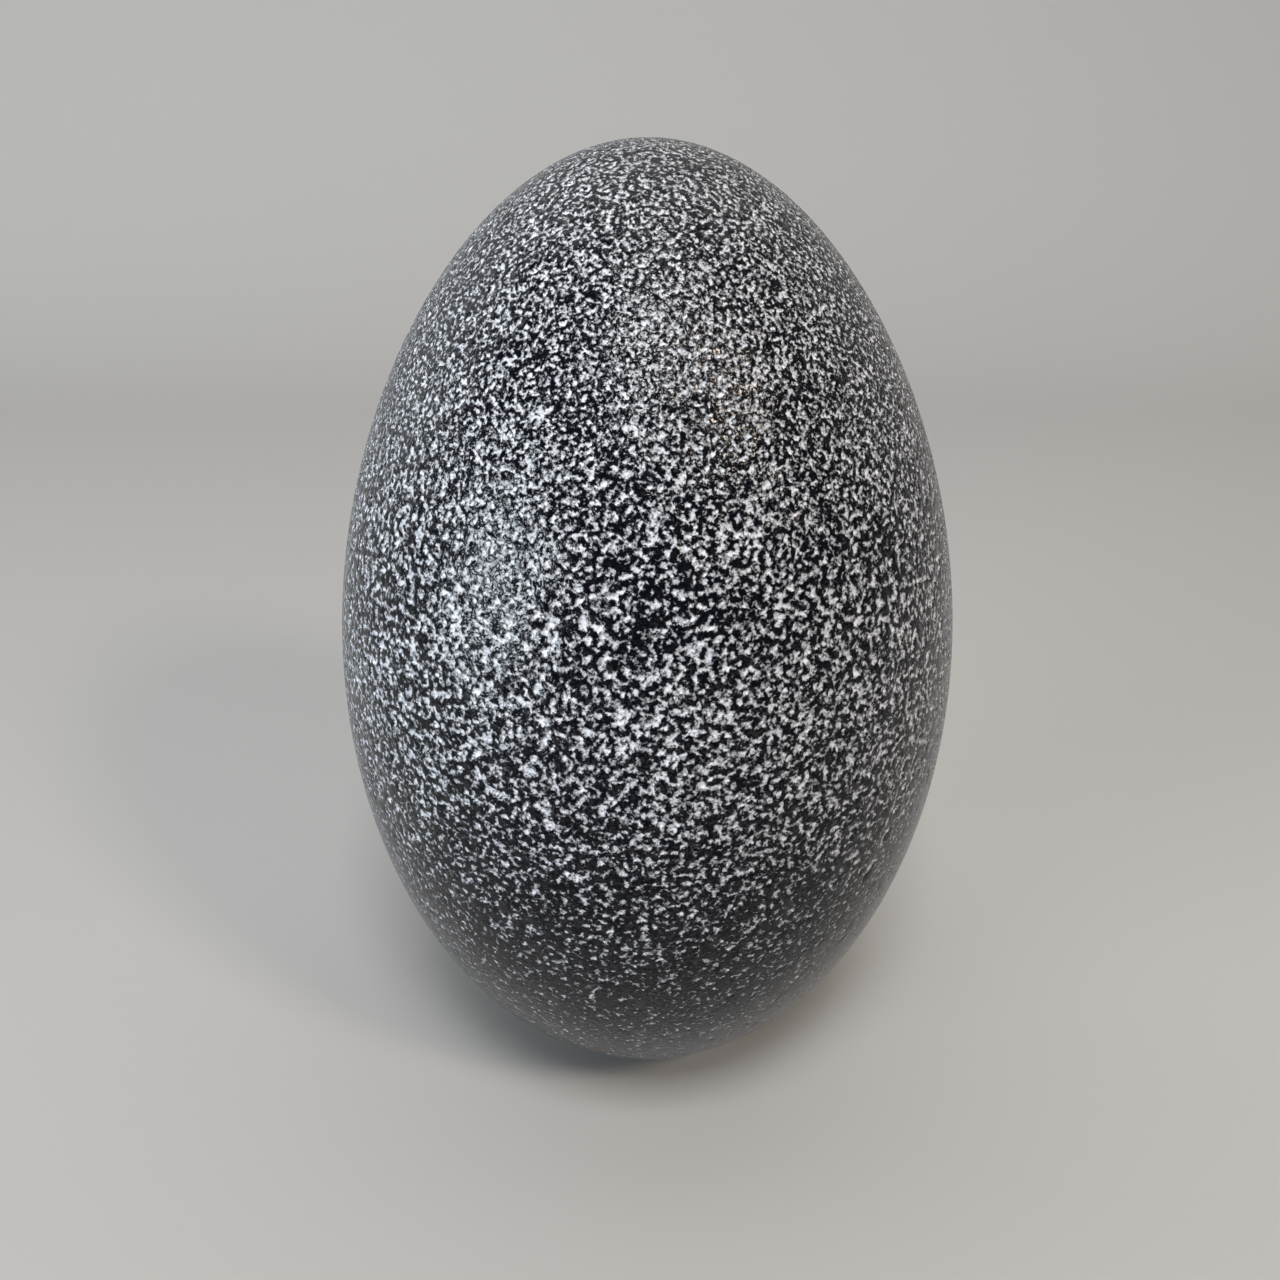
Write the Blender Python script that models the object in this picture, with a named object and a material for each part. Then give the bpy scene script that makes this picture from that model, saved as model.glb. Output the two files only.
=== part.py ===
"""Emu egg, standing on the small flat spot at its blunt end.

One closed solid: a surface of revolution about Z, with the slightly narrower end up.
Metres, +Z up, origin at the centre of the flat spot.
"""

import math

import bmesh
import bpy

# Driving dimensions.
WIDTH = 0.086  # across the widest part
LENGTH = 0.1366  # from pole to pole, before the flat spot takes the lower pole away
FLAT_RADIUS = 0.0075  # of the flat spot that the egg stands on
TAPER = 0.045  # how much the upper half is slimmer than the lower, as a share of the radius
POINT = 0.039  # how much both ends draw in from an ellipse, as a share of the radius

# Facets.
SEGMENTS = 64  # around the axis
RINGS = 40  # from the edge of the flat spot to the upper pole
MERGE_DISTANCE = 1e-6  # joins the copies of each pole that the spin leaves
SHARP_ANGLE = math.radians(12)  # keeps the edge of the flat spot crisp under smooth shading

# How finely the outline is searched for its widest place, and for the edge of the flat spot.
SEARCH_STEPS = 2000
HALVINGS = 60

SHELL_COLOUR = (0.075, 0.082, 0.095, 1.0)
SHELL_ROUGHNESS = 0.45


def shape_factor(height):
    """The outline's radius over an ellipse's, at a height from -1, the lower pole, to 1."""
    return 1 - TAPER * height - POINT * height * height


def ellipse_radius():
    """The radius of the ellipse whose shaped outline is WIDTH across at its widest."""
    angles = [math.pi * step / SEARCH_STEPS for step in range(SEARCH_STEPS + 1)]
    widest = max(math.sin(angle) * shape_factor(math.cos(angle)) for angle in angles)
    return WIDTH / 2 / widest


def outline_point(angle, base_radius):
    """(radius, height above the middle) of the outline at an angle from the upper pole."""
    height = math.cos(angle)
    return base_radius * math.sin(angle) * shape_factor(height), LENGTH / 2 * height


def flat_angle(base_radius):
    """The angle from the upper pole at which the outline has come in to FLAT_RADIUS."""
    above, below = math.pi / 2, math.pi
    for _ in range(HALVINGS):
        middle = (above + below) / 2
        if outline_point(middle, base_radius)[0] > FLAT_RADIUS:
            above = middle
        else:
            below = middle
    return above


def half_section():
    """The outline as (radius, z), from the flat spot's centre round to the upper pole."""
    base_radius = ellipse_radius()
    edge_angle = flat_angle(base_radius)
    floor = outline_point(edge_angle, base_radius)[1]
    points = [(0.0, 0.0), (FLAT_RADIUS, 0.0)]
    for ring in range(1, RINGS):
        radius, height = outline_point(edge_angle * (1 - ring / RINGS), base_radius)
        points.append((radius, height - floor))
    points.append((0.0, LENGTH / 2 - floor))
    return points


def shell_material():
    material = bpy.data.materials.new("shell")
    material.use_nodes = True
    shader = material.node_tree.nodes["Principled BSDF"]
    shader.inputs["Base Color"].default_value = SHELL_COLOUR
    shader.inputs["Roughness"].default_value = SHELL_ROUGHNESS
    shader.inputs["Metallic"].default_value = 0.0
    return material


def make_egg():
    """The egg, by spinning its half section once round the Z axis."""
    shape = bmesh.new()
    section = [shape.verts.new((radius, 0, z)) for radius, z in half_section()]
    edges = [shape.edges.new(pair) for pair in zip(section, section[1:])]
    bmesh.ops.spin(
        shape,
        geom=section + edges,
        cent=(0, 0, 0),
        axis=(0, 0, 1),
        angle=2 * math.pi,
        steps=SEGMENTS,
        use_merge=True,
    )
    bmesh.ops.remove_doubles(shape, verts=shape.verts, dist=MERGE_DISTANCE)
    bmesh.ops.recalc_face_normals(shape, faces=shape.faces)
    mesh = bpy.data.meshes.new("egg")
    shape.to_mesh(mesh)
    shape.free()
    mesh.shade_smooth()
    mesh.set_sharp_from_angle(angle=SHARP_ANGLE)
    mesh.materials.append(shell_material())
    egg = bpy.data.objects.new("egg", mesh)
    bpy.context.scene.collection.objects.link(egg)
    return egg


def clear_scene():
    for thing in list(bpy.data.objects):
        bpy.data.objects.remove(thing)


clear_scene()
make_egg()
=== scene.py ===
"""Looks of the emu egg: a dark glossy crust over pale blue-grey patches, partly as real relief.

The crust is one recipe, `crust`. Geometry nodes read it to sink the mesh, and the material reads the same
recipe for its colour, gloss and fine bump, so that the pale patches lie in the hollows.
"""

import math

import bpy
import numpy as np
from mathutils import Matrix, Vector


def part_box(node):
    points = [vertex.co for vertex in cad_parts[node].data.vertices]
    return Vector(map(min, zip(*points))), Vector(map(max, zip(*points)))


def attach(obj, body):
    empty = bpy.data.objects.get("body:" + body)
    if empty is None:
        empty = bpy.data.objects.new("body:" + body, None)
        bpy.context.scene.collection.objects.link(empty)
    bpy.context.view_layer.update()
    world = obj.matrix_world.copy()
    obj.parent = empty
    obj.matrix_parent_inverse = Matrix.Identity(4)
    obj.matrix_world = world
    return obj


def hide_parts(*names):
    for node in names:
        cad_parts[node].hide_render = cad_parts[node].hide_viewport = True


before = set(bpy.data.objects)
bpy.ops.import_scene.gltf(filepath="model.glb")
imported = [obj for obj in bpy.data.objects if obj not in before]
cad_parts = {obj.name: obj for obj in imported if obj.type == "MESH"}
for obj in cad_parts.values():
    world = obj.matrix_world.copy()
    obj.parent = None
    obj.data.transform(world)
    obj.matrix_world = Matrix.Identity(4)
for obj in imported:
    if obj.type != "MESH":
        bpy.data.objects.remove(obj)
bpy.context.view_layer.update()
EGG_LOW, EGG_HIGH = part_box("egg")

MM = 0.001

# The egg's outline, as in part.py. The width and the height come from the frame.
FLAT_RADIUS = 7.5 * MM
TAPER = 0.045
POINT = 0.039
OUTLINE_STEPS = 4001
SMALLEST_RADIUS = 1e-9

# The mesh.
ICO_SUBDIVISIONS = 9
TRIANGLES = 196_000
RELIEF = 0.30 * MM
REST = "rest"

# The crust's pattern. Sizes and heights are in millimetres.
COARSE_PATCH = 0.70
FINE_PATCH = 0.48
PATCH_SHARE = 0.85
PATCH_DETAIL = 2.5
PATCH_ROUGHNESS = 0.60
FINE_FROM, FINE_TO = 78.0, 122.0
COVER_FROM, COVER_TO = 22.0, 76.0
COVER_LOW, COVER_HIGH = 0.11, 0.425
PATCH_CONTRAST = 3.2
PATTERN_TURN = (0.6, 0.9, 0.35)

# Depths of the crust, on its own scale, between which the pale shell comes through and the relief falls away.
BARE_FROM, BARE_TO = 0.36, 0.88
BARE_POWER = 1.35
SINK_FROM, SINK_TO = 0.50, 1.10

# Finer noises, in lumps to a millimetre.
CREASE_SCALE = 1.5
CREASE_WIDTH = 0.18
# Share of the pale shell left in a crease: painted shade in the creases.
PAINTED_CREASE_SHADE = 0.9
SWELL_SCALE = 1.6
MOTTLE_SCALE = 1.7
MOTTLE_FROM, MOTTLE_TO = 0.35, 0.65

# Pigments.
CRUST_COLOUR = (0.0018, 0.0022, 0.0038, 1.0)
PALE_DULL = (0.41, 0.424, 0.455, 1.0)
PALE_BRIGHT = (0.60, 0.612, 0.642, 1.0)

# Shine.
CRUST_ROUGHNESS = 0.20
PALE_ROUGHNESS = 0.25
PALE_ROUGHNESS_FROM = 0.5
SPECULAR_LEVEL = 0.36
SHEEN = 0.04
SHEEN_ROUGHNESS = 0.35
SHEEN_TINT = (0.85, 0.90, 1.0, 1.0)

# Heights in the bump.
PATCH_BUMP = 0.05 * MM
CREASE_BUMP = 0.02 * MM
SWELL_BUMP = 0.06 * MM

# The camera, in front of the egg and above it. The sensor and the lens are in millimetres.
SENSOR_WIDTH = 36.0
FOCAL_LENGTH = 36.84375
CAMERA_PITCH = math.radians(26.5)
CAMERA_DISTANCE = 0.18945
CAMERA_RIGHT = -1.0 * MM
CAMERA_UP = 0.2 * MM

# The studio, in metres.
STUDIO_SIDE = 1.5
STUDIO_BACK = 0.6
STUDIO_FRONT = 1.8
WALL_HEIGHT = 1.9
CORNER = 0.5
BEND = 0.25
BEND_MARGIN = 0.02
CORNER_STEPS = 16
BEND_STEPS = 16
STUDIO_COLOUR = (0.32, 0.315, 0.305, 1.0)
STUDIO_ROUGHNESS = 0.9
LIGHT_DISTANCE = 1.0
ROOM_COLOUR = (0.76, 0.78, 0.82, 1.0)
ROOM_STRENGTH = 0.08


def outline_radius(height, base_radius):
    """Radius of the smooth egg at a height from -1, the lower pole, to 1."""
    return base_radius * np.sqrt(np.maximum(1 - height**2, 0)) * (1 - TAPER * height - POINT * height**2)


def egg_shape():
    """(base radius, half length, height of the middle above the floor), from the frame's box."""
    heights = np.cos(np.linspace(0, math.pi, OUTLINE_STEPS))
    base_radius = (EGG_HIGH.x - EGG_LOW.x) / 2 / outline_radius(heights, 1.0).max()
    in_flat = (outline_radius(heights, base_radius) < FLAT_RADIUS) & (heights < 0)
    flat_height = heights[np.argmax(in_flat)]
    half_length = (EGG_HIGH.z - EGG_LOW.z) / (1 - flat_height)
    return base_radius, half_length, EGG_LOW.z - flat_height * half_length


BASE_RADIUS, HALF_LENGTH, MIDDLE_HEIGHT = egg_shape()
MIDDLE = Vector((0, 0, MIDDLE_HEIGHT))


def link(thing):
    """Puts an object in the scene."""
    bpy.context.scene.collection.objects.link(thing)
    return thing


class Nodes:
    """Adds nodes to a shader tree or a geometry tree, with the same calls for both."""

    def __init__(self, tree):
        self.tree = tree

    def add(self, kind, settings=None, **inputs):
        """A new node. An input's name has _ for each space."""
        node = self.tree.nodes.new(kind)
        for name, value in (settings or {}).items():
            setattr(node, name, value)
        for name, value in inputs.items():
            self.feed(node.inputs[name.replace("_", " ")], value)
        return node

    def feed(self, socket, value):
        """Links a socket to an input, or sets the input to a plain value."""
        if isinstance(value, bpy.types.NodeSocket):
            self.tree.links.new(value, socket)
        else:
            socket.default_value = value

    def math(self, operation, *values):
        node = self.add("ShaderNodeMath", {"operation": operation})
        for socket, value in zip(node.inputs, values):
            self.feed(socket, value)
        return node.outputs["Value"]

    def scaled(self, vector, factor):
        node = self.add("ShaderNodeVectorMath", {"operation": "SCALE"}, Vector=vector, Scale=factor)
        return node.outputs["Vector"]

    def noise(self, place, scale, detail, roughness):
        """Smooth noise, mostly from 0.2 to 0.8, with about `scale` lumps to a millimetre."""
        node = self.add("ShaderNodeTexNoise", Vector=place, Scale=scale, Detail=detail, Roughness=roughness)
        return node.outputs[0]

    def between(self, value, low, high, to_low=0.0, to_high=1.0, style="SMOOTHSTEP"):
        """The value's way from low to high, as a number from to_low to to_high."""
        node = self.add("ShaderNodeMapRange", {"interpolation_type": style, "clamp": True})
        ends = {"Value": value, "From Min": low, "From Max": high, "To Min": to_low, "To Max": to_high}
        for name, number in ends.items():
            self.feed(node.inputs[name], number)
        return node.outputs["Result"]

    def mixed(self, share, first, second):
        """A colour between two others."""
        node = self.add("ShaderNodeMix", {"data_type": "RGBA"}, Factor=share)
        colours = [socket for socket in node.inputs if socket.type == "RGBA"]
        self.feed(colours[0], first)
        self.feed(colours[1], second)
        return next(socket for socket in node.outputs if socket.type == "RGBA")


def turned(nodes, place):
    """The place in axes turned away from the egg's own, so that no grid of the noise lines up with it."""
    node = nodes.add("ShaderNodeVectorRotate", {"rotation_type": "EULER_XYZ"})
    nodes.feed(node.inputs["Vector"], place)
    nodes.feed(node.inputs["Rotation"], PATTERN_TURN)
    return node.outputs["Vector"]


def patches(nodes, place, size):
    """Depth of the crust's hollows about their middle value, for patches of a size in millimetres."""
    lumps = nodes.noise(place, PATCH_SHARE / size, PATCH_DETAIL, PATCH_ROUGHNESS)
    return nodes.math("MULTIPLY_ADD", lumps, PATCH_CONTRAST, -0.5 * PATCH_CONTRAST)


def crust(nodes, place):
    """Depth of the crust at a place in millimetres: low on the dark crust, high in a pale hollow.

    The patches are finer towards the narrow upper end and fewer towards the lower end. The two sizes are
    mixed by sine and cosine, which keeps the contrast the same all the way.
    """
    height = nodes.add("ShaderNodeSeparateXYZ", Vector=place).outputs["Z"]
    turn = nodes.between(height, FINE_FROM, FINE_TO, 0.0, math.pi / 2)
    place = turned(nodes, place)
    coarse = nodes.math("MULTIPLY", patches(nodes, place, COARSE_PATCH), nodes.math("COSINE", turn))
    depth = nodes.math("MULTIPLY_ADD", patches(nodes, place, FINE_PATCH), nodes.math("SINE", turn), coarse)
    return nodes.math("ADD", depth, nodes.between(height, COVER_FROM, COVER_TO, COVER_LOW, COVER_HIGH))


def bareness(nodes, depth):
    """How far the pale shell shows: 0 on the crust, 1 in a hollow."""
    return nodes.math("POWER", nodes.between(depth, BARE_FROM, BARE_TO, style="LINEAR"), BARE_POWER)


def relief_height(nodes, depth):
    """Height of the relief: 1 all over the level crust, falling to 0 in the deepest hollows."""
    return nodes.between(depth, SINK_FROM, SINK_TO, 1.0, 0.0)


def creases(nodes, place):
    """Height of the crust's fine skin: level, with thin winding creases."""
    lumps = nodes.noise(place, CREASE_SCALE, detail=1.0, roughness=0.55)
    from_middle = nodes.math("ABSOLUTE", nodes.math("SUBTRACT", lumps, 0.5))
    return nodes.between(from_middle, 0.0, CREASE_WIDTH)


def bump_height(nodes, place, depth, creased):
    """Height of the fine surface in metres: patches, creases and a gentle swell."""
    swell = nodes.noise(place, SWELL_SCALE, detail=1.0, roughness=0.5)
    swell = nodes.math("MULTIPLY", swell, SWELL_BUMP)
    skin = nodes.math("MULTIPLY_ADD", creased, CREASE_BUMP, swell)
    return nodes.math("MULTIPLY_ADD", relief_height(nodes, depth), PATCH_BUMP, skin)


def shell_material():
    """Near-black glossy crust, and slightly duller pale patches mottled between two tones.

    The creases take the shine away through the specular tint, a painted shade on the gloss, because bump
    alone doesn't darken them. They also dim the pale patches a little with painted shade.
    """
    material = bpy.data.materials.new("eggshell")
    material.use_nodes = True
    nodes = Nodes(material.node_tree)
    shader = material.node_tree.nodes["Principled BSDF"]
    rest = nodes.add("ShaderNodeAttribute", {"attribute_name": REST}).outputs["Vector"]
    place = nodes.scaled(rest, 1 / MM)
    depth = crust(nodes, place)
    place = turned(nodes, place)
    creased = creases(nodes, place)
    # Painted shade: the pale shell shows a tenth less in the creases, darkening them towards the crust.
    painted_crease_shade = nodes.between(creased, 0.0, 1.0, PAINTED_CREASE_SHADE, 1.0)
    bare = nodes.math("MULTIPLY", bareness(nodes, depth), painted_crease_shade)
    mottle = nodes.noise(place, MOTTLE_SCALE, detail=1.5, roughness=0.6)
    pale = nodes.mixed(nodes.between(mottle, MOTTLE_FROM, MOTTLE_TO), PALE_DULL, PALE_BRIGHT)
    nodes.feed(shader.inputs["Base Color"], nodes.mixed(bare, CRUST_COLOUR, pale))
    roughness = nodes.between(bare, 0.0, PALE_ROUGHNESS_FROM, CRUST_ROUGHNESS, PALE_ROUGHNESS, style="LINEAR")
    nodes.feed(shader.inputs["Roughness"], roughness)
    # Painted shade on the gloss: the specular tint falls to nothing in the creases.
    nodes.feed(shader.inputs["Specular Tint"], creased)
    shader.inputs["Specular IOR Level"].default_value = SPECULAR_LEVEL
    shader.inputs["Sheen Weight"].default_value = SHEEN
    shader.inputs["Sheen Roughness"].default_value = SHEEN_ROUGHNESS
    shader.inputs["Sheen Tint"].default_value = SHEEN_TINT
    height = bump_height(nodes, place, depth, creased)
    bump = nodes.add("ShaderNodeBump", Height=height, Distance=1.0, Strength=1.0)
    nodes.feed(shader.inputs["Normal"], bump.outputs["Normal"])
    return material


def smooth_egg():
    """A dense even mesh of the smooth egg, with each point's place kept in the attribute REST."""
    bpy.ops.mesh.primitive_ico_sphere_add(subdivisions=ICO_SUBDIVISIONS, radius=1.0)
    egg = bpy.context.object
    mesh = egg.data
    points = np.empty(len(mesh.vertices) * 3, np.float32)
    mesh.vertices.foreach_get("co", points)
    points = points.reshape(-1, 3)
    height = np.clip(points[:, 2], -1, 1)
    around = np.hypot(points[:, 0], points[:, 1])
    spread = outline_radius(height, BASE_RADIUS) / np.maximum(around, SMALLEST_RADIUS)
    points[:, 0] *= spread
    points[:, 1] *= spread
    points[:, 2] = np.maximum(MIDDLE_HEIGHT + HALF_LENGTH * height, EGG_LOW.z)
    mesh.vertices.foreach_set("co", points.ravel())
    mesh.update()
    rest = mesh.attributes.new(REST, "FLOAT_VECTOR", "POINT")
    rest.data.foreach_set("vector", points.ravel())
    return egg


def relief_group():
    """Geometry nodes that sink each point below the smooth egg where the crust is low."""
    tree = bpy.data.node_groups.new("relief", "GeometryNodeTree")
    tree.interface.new_socket("Geometry", in_out="INPUT", socket_type="NodeSocketGeometry")
    tree.interface.new_socket("Geometry", in_out="OUTPUT", socket_type="NodeSocketGeometry")
    nodes = Nodes(tree)
    start = nodes.add("NodeGroupInput")
    end = nodes.add("NodeGroupOutput")
    place = nodes.scaled(nodes.add("GeometryNodeInputPosition").outputs["Position"], 1 / MM)
    height = relief_height(nodes, crust(nodes, place))
    sink = nodes.math("MULTIPLY_ADD", height, RELIEF, -RELIEF)
    shift = nodes.scaled(nodes.add("GeometryNodeInputNormal").outputs["Normal"], sink)
    move = nodes.add("GeometryNodeSetPosition", Geometry=start.outputs["Geometry"], Offset=shift)
    nodes.feed(end.inputs["Geometry"], move.outputs["Geometry"])
    return tree


def sunk_and_thinned(egg):
    """The egg's mesh with the relief applied, thinned to the triangle budget, and no lower than the floor."""
    egg.modifiers.new("relief", "NODES").node_group = relief_group()
    egg.modifiers.new("thin", "DECIMATE").ratio = TRIANGLES / len(egg.data.polygons)
    bpy.context.view_layer.update()
    finished = bpy.data.meshes.new_from_object(egg.evaluated_get(bpy.context.evaluated_depsgraph_get()))
    egg.modifiers.clear()
    for point in finished.vertices:
        point.co.z = max(point.co.z, EGG_LOW.z)
    finished.shade_smooth()
    return finished


def make_egg():
    """The whole egg: the one piece of the object."""
    egg = smooth_egg()
    egg.name = "egg_shell"
    egg.data = sunk_and_thinned(egg)
    egg.data.name = "egg_shell"
    egg.data.materials.clear()
    egg.data.materials.append(shell_material())
    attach(egg, "root")
    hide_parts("egg")


def make_camera():
    """A camera in front of the egg and above it, looking down at its middle."""
    camera = link(bpy.data.objects.new("camera", bpy.data.cameras.new("camera")))
    camera.data.sensor_width = SENSOR_WIDTH
    camera.data.lens = FOCAL_LENGTH
    camera.data.clip_start = 5 * MM
    forward = Vector((0, math.cos(CAMERA_PITCH), -math.sin(CAMERA_PITCH)))
    upward = Vector((0, math.sin(CAMERA_PITCH), math.cos(CAMERA_PITCH)))
    camera.location = MIDDLE - CAMERA_DISTANCE * forward + CAMERA_UP * upward
    camera.location.x += CAMERA_RIGHT
    camera.rotation_mode = "QUATERNION"
    camera.rotation_quaternion = forward.to_track_quat("-Z", "Y")
    bpy.context.scene.camera = camera


def studio_profile():
    """(distance out from a corner's centre, height) from the floor, round the bend and up the wall."""
    profile = [(CORNER - BEND - BEND_MARGIN, 0.0)]
    for step in range(BEND_STEPS + 1):
        turn = math.pi / 2 * step / BEND_STEPS
        profile.append((CORNER - BEND + BEND * math.sin(turn), BEND - BEND * math.cos(turn)))
    profile.append((CORNER, WALL_HEIGHT))
    return profile


def studio_ring(reach, z):
    """One closed ring of points round the studio, at a distance out from its corners' centres."""
    side = STUDIO_SIDE - CORNER
    back = STUDIO_BACK - CORNER
    front = CORNER - STUDIO_FRONT
    ring = []
    for quarter, (x, y) in enumerate([(side, back), (-side, back), (-side, front), (side, front)]):
        for step in range(CORNER_STEPS + 1):
            turn = math.pi / 2 * (quarter + step / CORNER_STEPS)
            ring.append((x + reach * math.cos(turn), y + reach * math.sin(turn), z))
    return ring


def make_studio():
    """A plain studio: a flat pale floor that curves up into walls, with round corners and no ceiling."""
    rings = [studio_ring(reach, z) for reach, z in studio_profile()]
    count = len(rings[0])
    faces = [tuple(range(count))]
    for low in range(0, count * (len(rings) - 1), count):
        high = low + count
        for i in range(count):
            after = (i + 1) % count
            faces.append((low + after, low + i, high + i, high + after))
    mesh = bpy.data.meshes.new("studio")
    mesh.from_pydata([point for ring in rings for point in ring], [], faces)
    mesh.shade_smooth()
    mesh.materials.append(studio_material())
    link(bpy.data.objects.new("studio", mesh))


def studio_material():
    """Plain matt pale grey."""
    material = bpy.data.materials.new("studio")
    material.use_nodes = True
    shader = material.node_tree.nodes["Principled BSDF"]
    shader.inputs["Base Color"].default_value = STUDIO_COLOUR
    shader.inputs["Roughness"].default_value = STUDIO_ROUGHNESS
    return material


def area_light(name, azimuth, elevation, size, power, colour):
    """A square light that faces the egg's middle. Azimuth 0 is in front, and positive is to the right."""
    light = bpy.data.lights.new(name, "AREA")
    light.shape = "SQUARE"
    light.size = size
    light.energy = power
    light.color = colour
    thing = link(bpy.data.objects.new(name, light))
    turn = math.radians(azimuth)
    lift = math.radians(elevation)
    away = Vector((math.sin(turn) * math.cos(lift), -math.cos(turn) * math.cos(lift), math.sin(lift)))
    thing.location = MIDDLE + away * LIGHT_DISTANCE
    thing.rotation_mode = "QUATERNION"
    thing.rotation_quaternion = (-away).to_track_quat("-Z", "Y")


def make_lights():
    """Soft studio lights: three smaller ones for the highlights, and three broad ones above and behind."""
    area_light("window", azimuth=-54, elevation=4, size=0.42, power=13.0, colour=(0.82, 0.91, 1.0))
    area_light("ceiling", azimuth=2, elevation=58, size=0.30, power=9.2, colour=(0.98, 0.99, 1.0))
    area_light("overhead", azimuth=180, elevation=64, size=1.40, power=7.5, colour=(1.0, 1.0, 1.0))
    area_light("lamp", azimuth=43, elevation=40, size=0.15, power=4.4, colour=(1.0, 0.82, 0.66))
    area_light("rear_left", azimuth=-118, elevation=24, size=0.90, power=2.8, colour=(0.92, 0.96, 1.0))
    area_light("rear_right", azimuth=112, elevation=28, size=0.80, power=0.6, colour=(1.0, 0.96, 0.92))
    world = bpy.data.worlds.new("room")
    world.use_nodes = True
    background = world.node_tree.nodes["Background"]
    background.inputs["Color"].default_value = ROOM_COLOUR
    background.inputs["Strength"].default_value = ROOM_STRENGTH
    bpy.context.scene.world = world


bpy.context.scene.view_settings.view_transform = "Standard"
make_camera()
make_egg()
make_studio()
make_lights()
